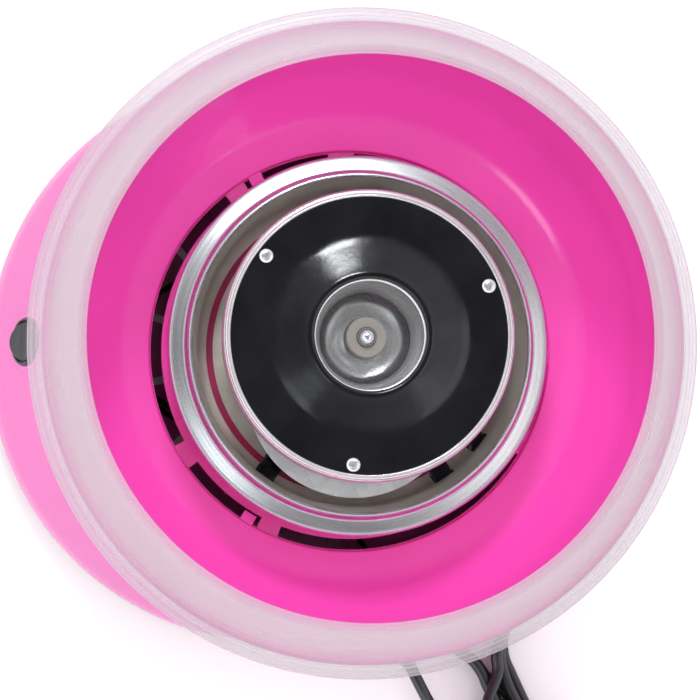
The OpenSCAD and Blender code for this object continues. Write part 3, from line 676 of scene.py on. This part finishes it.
def baseShell(b):
    # circles whose radius and middle change with height, outside and then back down inside the wall
    levels = np.asarray(b["levels"], dtype=float)
    heights = levels[:, [1, 0]]
    outer = softened(heights, 9.0, 8, closed=False)
    shiftAt = lambda z: np.interp(z, levels[:, 0], levels[:, 2])
    low = levels[-1, 0] - b["wall"]
    inner = np.stack([outer[:, 0] - b["wall"], np.minimum(outer[:, 1], low)], axis=1)[::-1]
    inner = np.concatenate([[[levels[-1, 1], low]], inner[inner[:, 0] > levels[-1, 1]]])
    loop = np.concatenate([outer, inner])
    shift = shiftAt(loop[:, 1])
    turn = np.linspace(0, 2 * np.pi, b["sides"], endpoint=False)
    x = loop[:, :1] * np.cos(turn) + shift[:, None] * baseX / mm / levels[0, 2]
    y = loop[:, :1] * np.sin(turn) - shift[:, None]
    points = np.stack([x, y, np.broadcast_to(loop[:, 1:], x.shape)], axis=-1) * mm + [0, bowlY, 0]
    return addPiece("baseShell", points, gridFaces(len(loop), b["sides"], True, True), "base_housing")


baseShell(base).data.materials[0] = finishes["pink_base"]

switch = {"forward": 151.0, "height": 55.0, "lean": 59.0}
switchOut = Vector((0, -math.sin(math.radians(switch["lean"])), math.cos(math.radians(switch["lean"]))))
switchUp = Vector((0, math.cos(math.radians(switch["lean"])), math.sin(math.radians(switch["lean"]))))
switchOrigin = Vector((0, bowlY - switch["forward"] * mm, switch["height"] * mm))


def onSwitch(name, outline, cadNode, sides=96, closed=True, standsFor=True):
    # an outline of (radius, height) in mm carried round the switch's own axis
    outline = np.asarray(outline, dtype=float)
    turn = np.linspace(0, 2 * np.pi, sides, endpoint=False)
    local = np.stack([outline[:, :1] * np.cos(turn), outline[:, :1] * np.sin(turn),
                      np.broadcast_to(outline[:, 1:], (len(outline), sides))], axis=-1).reshape(-1, 3) * mm
    points = placedOn(local, switchOrigin, (1, 0, 0), switchUp, switchOut)
    area = np.sum(outline[:, 0] * np.roll(outline[:, 1], -1) - np.roll(outline[:, 0], -1) * outline[:, 1])
    return addPiece(name, points, gridFaces(len(outline), sides, closed, True, flip=area < 0), cadNode,
                    35.0, standsFor)


# the flat seat under the bezel, moulded with the housing
onSwitch("switchSeat", softened([[10.85, -5.5], [13.7, -5.5], [13.7, 0.55], [10.85, 0.55]], 0.5, 4),
         "base_housing", standsFor=False)
onSwitch("switchRing", softened([[10.4, -4.8], [10.75, -4.8], [10.75, 0.6], [12.2, 0.6], [12.2, 1.7],
                                 [11.3, 2.75], [10.4, 2.4]], 0.45, 5), "switch_bezel")

rocker = {"radius": 9.6, "tilt": -7.0, "dip": 1.5, "rise": 2.1, "lift": 0.6}


def rockerCap(r):
    # a round cap whose top dips along its pivot line: height grows with the square of the distance from it
    rings = np.concatenate([np.linspace(0.02, 0.94, 30), [0.97, 0.99, 1.0, 1.0, 0.99]])
    drop = np.concatenate([np.zeros(30), [0.08, 0.25, 0.6, 4.2, 4.5]])
    turn = np.linspace(0, 2 * np.pi, 96, endpoint=False)
    x = r["radius"] * rings[:, None] * np.cos(turn)
    y = r["radius"] * rings[:, None] * np.sin(turn)
    # three low ridges across the raised end help the thumb
    ridge = 0.16 * (np.cos(y * 2 * np.pi / 1.5) > 0.45) * (np.abs(x) < 4.5) * (y > 4.2) * (y < 8.0)
    top = r["dip"] + r["rise"] * (y / r["radius"]) ** 2 + ridge
    z = np.where(drop[:, None] < 4, top - drop[:, None], -3.0 + (4.5 - drop[:, None]))
    tilt = math.radians(r["tilt"])
    local = np.stack([x, y * math.cos(tilt) - z * math.sin(tilt),
                      y * math.sin(tilt) + z * math.cos(tilt) + r["lift"]], axis=-1).reshape(-1, 3) * mm
    points = placedOn(local, switchOrigin, (1, 0, 0), switchUp, switchOut)
    faces = [*gridFaces(len(rings), 96, False, True, flip=True).tolist(), list(range(96)),
             list(range((len(rings) - 1) * 96, len(rings) * 96))[::-1]]
    return addPiece("rockerCap", points, faces, "rocker", 40.0)


rockerCap(rocker)
print("base and switch made")


# bowl and guard
bowl = {
    "bottom": 145.3, "wall": 2.4, "hole": 93.3, "rimRadius": 141.7, "rim": 223.0, "lugFirst": 330.0,
    "lugAngle": 4.0,
    # outside of the wall, radius and height
    "outside": [[104, 145.7], [110.6, 147.3], [116.9, 150.2], [123.2, 154.3], [129.1, 158.8],
                [134.1, 165.6], [137.9, 175.2], [140.4, 189.7], [141.8, 206]],
}


def bowlShell(b):
    # a smooth outer wall, a rounded rim, the inner wall one thickness in, and a rounded edge at the hole
    outside = np.asarray(b["outside"])
    gap = np.gradient(outside, axis=0)
    inward = np.stack([-gap[:, 1], gap[:, 0]], axis=1) / np.linalg.norm(gap, axis=1, keepdims=True)
    inside = (outside + inward * b["wall"])[::-1]
    rimR, rim = b["rimRadius"], b["rim"]
    outline = np.concatenate([
        [[b["hole"] + 0.3, b["bottom"]]], outside,
        [[rimR + 1.05, rim - 1.6], [rimR + 0.9, rim], [rimR - 1.3, rim], [rimR - 1.35, rim - 1.6]], inside,
        [[b["hole"] + 0.5, b["bottom"] + b["wall"] + 0.2], [b["hole"], b["bottom"] + b["wall"] - 0.8],
         [b["hole"], b["bottom"] + 0.4]]])
    cuts = np.full(len(outline), 9.0)
    cuts[:1] = 0.4
    cuts[len(outside) + 1:len(outside) + 5] = 0.9
    cuts[-3:] = 0.7
    return turned("bowlShell", softened(outline, cuts, 8), "bowl", 360)


bowlShell(bowl)


def bowlLug(b, number):
    # a hook in an outline of (radius, height), swept over the lug's few degrees and closed at both ends
    hole, low = b["hole"], b["bottom"]
    outline = softened([[88.8, low - 6.8], [91.6, low - 6.8], [91.6, low + 0.4], [hole + 1, low + 0.4],
                        [hole + 1, low + 2.0], [88.8, low + 2.0]], 0.4, 3)
    turn = np.radians(b["lugFirst"] + 120 * number + np.linspace(0, b["lugAngle"], 7))
    x = outline[:, :1] * np.cos(turn)
    y = outline[:, :1] * np.sin(turn)
    points = np.stack([x, y, np.broadcast_to(outline[:, 1:], x.shape)], axis=-1) * mm + [0, bowlY, 0]
    count = len(outline)
    faces = [*gridFaces(count, 7, True, False).tolist(), [k * 7 for k in range(count)],
             [k * 7 + 6 for k in range(count)][::-1]]
    return addPiece("bowlLug%d" % number, points, faces, "bowl", standsFor=False)


for number in range(3):
    bowlLug(bowl, number)

guard = {"outline": [[149.0, 218.3], [149.0, 221.2], [147.4, 221.2], [145.1, 221.5], [144.8, 224.5],
                     [140.6, 225.9], [138.9, 227.4], [127.9, 250.4], [127.2, 253.9], [123.2, 253.9],
                     [123.1, 252.7], [125.5, 252.3], [126.3, 250.0], [137.4, 226.6], [139.6, 224.5],
                     [143.3, 223.4], [143.6, 219.9], [147.2, 219.2], [147.4, 218.3]],
         "cuts": [0.8, 0.8, 0.4, 0.6, 1.2, 1.2, 1.5, 4, 1.6, 0.5, 0.5, 1.2, 3, 1.5, 1.2, 1.0, 0.6, 0.5, 0.5]}
turned("guardShell", softened(guard["outline"], guard["cuts"], 6), "rim_guard", 360)
print("bowl and guard made")


# collar and cup
collar = {"outline": [[77.0, 188.0], [86.2, 188.0], [86.4, 190.9], [85.0, 191.8], [79.1, 193.05],
                      [78.0, 194.4], [77.8, 199.9], [76.6, 200.6], [75.7, 200.4], [75.7, 199.1],
                      [77.0, 199.1]],
          "cuts": [0.2, 0.4, 0.8, 1.2, 0.9, 0.9, 0.8, 0.6, 0.5, 0.3, 0.1]}
turned("collarRing", softened(collar["outline"], collar["cuts"], 6), "collar_ring", 360)

cleaned("base_deck", 25.0)
cleaned("heater_cup", 40.0)
# cup_gasket is a dark red disc of painted shade, put where the cup's depth shows only the pink base in shadow
for nodeName, bevel in (("heater_shield", 0.0002), ("heater_brackets", 0.0003), ("cup_brackets", 0.0002),
                        ("cup_gasket", 0.0), ("heater_reflector", 0.0), ("heater_element", 0.0),
                        ("cup_screws", 0.0), ("base_plate", 0.0), ("suction_feet", 0.0),
                        ("base_screws", 0.0), ("drive_pin", 0.0), ("head_bottom_plate", 0.0),
                        ("head_screen", 0.0)):
    cleaned(nodeName, 30.0, bevel)
print("collar and cup made")


# extractor head
topPlate = {"outline": [[24.7, 228.5], [24.7, 230.9], [26.6, 231.7], [29.4, 230.7], [42.5, 226.6],
                        [46.0, 226.0], [61.4, 226.0], [61.4, 224.4], [46, 224.4], [29, 228.3]],
            "cuts": [0.2, 1.0, 1.6, 2.4, 3.0, 3.0, 0.3, 0.3, 2.0, 2.0]}
turned("topPlate", softened(topPlate["outline"], topPlate["cuts"], 8),
       "head_top_plate", 256, (headX, headY))

rim = {"outline": [[61.4, 225.9], [61.6, 226.9], [62.5, 226.9], [62.9, 225.9], [63.6, 225.6],
                   [64.1, 225.7], [65.0, 224.4], [65.0, 217.3], [63.6, 217.3], [63.6, 223.4],
                   [62.2, 224.3], [61.4, 224.3]],
       "cuts": [0.1, 0.5, 0.5, 0.4, 0.4, 0.5, 1.2, 0.3, 0.2, 1.0, 0.5, 0.1]}
turned("rimBand", softened(rim["outline"], rim["cuts"], 5), "head_rim_band", 288, (headX, headY))

funnel = {"outline": [[20.3, 204.0], [21.0, 204.0], [24.6, 227.4], [28.4, 227.4], [28.4, 228.2],
                      [24.0, 228.2]],
          "cuts": [0.2, 0.2, 1.0, 0.2, 0.2, 1.0]}
turned("sugarFunnel", softened(funnel["outline"], funnel["cuts"], 5), "head_funnel", 192, (headX, headY))

cleaned("head_hub", 35.0)
washer = {"outline": [[4.5, 211.0], [8.9, 211.0], [8.9, 211.8], [4.5, 211.8]]}
turned("hubWasher", softened(washer["outline"], 0.3, 4), "head_washer", 128, (headX, headY))

rivet = {"circle": 57.5, "first": 116.0, "crown": [[0.02, 1.3], [1.2, 1.25], [2.4, 1.0], [3.1, 0.5],
                                                   [3.2, 0.0], [1.6, -0.2], [1.6, -27.8], [3.0, -27.9],
                                                   [3.0, -29.1], [0.02, -29.2]]}


def rivets(r):
    # one outline of (radius, height) carried round each rivet's own axis
    outline = softened(r["crown"], 0.35, 4, closed=False)
    turn = np.linspace(0, 2 * np.pi, 48, endpoint=False)
    one = np.stack([outline[:, :1] * np.cos(turn), outline[:, :1] * np.sin(turn),
                    np.broadcast_to(outline[:, 1:], (len(outline), 48))], axis=-1).reshape(-1, 3)
    top = 226.0
    points, faces = [], []
    count = len(one)
    grid = gridFaces(len(outline), 48, False, True, flip=True).tolist()
    for k in range(3):
        a = math.radians(r["first"] + 120 * k)
        place = [r["circle"] * math.cos(a), r["circle"] * math.sin(a), top]
        points.append((one + place) * mm + [headX, headY, 0])
        faces += [[v + k * count for v in f] for f in grid]
        faces += [[v + k * count for v in range(48)], [v + (k + 1) * count - 48 for v in range(48)][::-1]]
    return addPiece("plateRivets", np.concatenate(points), faces, "head_rivets")


rivets(rivet)

tip = {"outline": [[0.02, 217.2], [1.4, 216.95], [2.7, 216.2], [3.7, 214.9], [4.15, 213.2], [4.2, 212.4],
                   [4.2, 187.5], [5.7, 186.0], [5.7, 150.0], [3.0, 150.0], [3.0, 180.0], [0.02, 180.0]]}
turned("spindleTip", softened(tip["outline"], 0.6, 5, closed=False), "spindle_sleeve", 96, (headX, headY),
       closed=False)
print("head made")


# floor and light
def floor():
    # a wide plain sheet on the table plane
    mesh = bpy.data.meshes.new("floor")
    mesh.from_pydata([(-6, -6, 0), (6, -6, 0), (6, 6, 0), (-6, 6, 0)], [], [(0, 1, 2, 3)])
    obj = bpy.data.objects.new("floor", mesh)
    p = Paint("paleFloor", (0.80, 0.80, 0.80), 0.0, 0.8)
    p.rough(p.spanned(p.noise(p.coords, 3.0, 2.0), 0.7, 0.9))
    mesh.materials.append(p.mat)
    scene.collection.objects.link(obj)


floor()

lamps = [
    # name, heading, rise, distance, width, height, radiance, colour, seen in reflections
    ("fill", 0.0, 89.0, 2.0, 1.60, 1.60, 3.0, (1.0, 1.0, 1.0), False),
    ("top", -168.0, 56.0, 2.0, 0.40, 0.26, 50.0, (0.93, 0.96, 1.0), True),
    ("lowerLeft", -45.0, 66.0, 2.0, 0.40, 0.40, 3.0, (0.90, 0.95, 1.0), True),
    ("right", 80.0, 58.0, 2.0, 1.20, 0.50, 1.4, (1.0, 1.0, 1.0), True),
]


lampAim = Vector((0, bowlY, 0.18))  # the point that every lamp faces


def areaLamp(name, heading, rise, distance, width, height, radiance, color, glossy):
    data = bpy.data.lights.new(name, "AREA")
    data.shape = "RECTANGLE"
    data.size = width
    data.size_y = height
    data.energy = radiance * math.pi * width * height
    data.color = color
    obj = bpy.data.objects.new(name, data)
    out = direction(heading, rise)
    obj.location = lampAim + out * distance
    obj.rotation_euler = out.to_track_quat("Z", "Y").to_euler()
    obj.visible_glossy = glossy
    scene.collection.objects.link(obj)


for lamp in lamps:
    areaLamp(*lamp)


def studioWorld(sides, ceiling):
    # bright walls under a dark ceiling, brighter towards the cord's side and the front
    world = bpy.data.worlds.new("studio")
    world.use_nodes = True
    tree = world.node_tree
    coords = tree.nodes.new("ShaderNodeTexCoord").outputs["Generated"]

    def along(axis):
        dot = tree.nodes.new("ShaderNodeVectorMath")
        dot.operation = "DOT_PRODUCT"
        tree.links.new(coords, dot.inputs[0])
        dot.inputs[1].default_value = axis
        return dot.outputs["Value"]

    def spread(value, shape, low, high, start, end):
        span = tree.nodes.new("ShaderNodeMapRange")
        span.interpolation_type = shape
        for socket, number in zip(("From Min", "From Max", "To Min", "To Max"), (low, high, start, end)):
            span.inputs[socket].default_value = number
        tree.links.new(value, span.inputs["Value"])
        return span.outputs["Result"]

    lean = spread(along((0.7, -0.7, 0.0)), "LINEAR", -1.0, 1.0, 0.7, 1.3)
    wall = spread(along((0.0, 0.0, 1.0)), "SMOOTHSTEP", 0.60, 0.93, sides, ceiling)
    product = tree.nodes.new("ShaderNodeMath")
    product.operation = "MULTIPLY"
    tree.links.new(lean, product.inputs[0])
    tree.links.new(wall, product.inputs[1])
    background = tree.nodes["Background"]
    background.inputs["Color"].default_value = (1, 1, 1, 1)
    tree.links.new(product.outputs[0], background.inputs["Strength"])
    return world


world = studioWorld(1.8, 0.16)
scene.world = world
scene.view_settings.view_transform = "Standard"
print("light set")
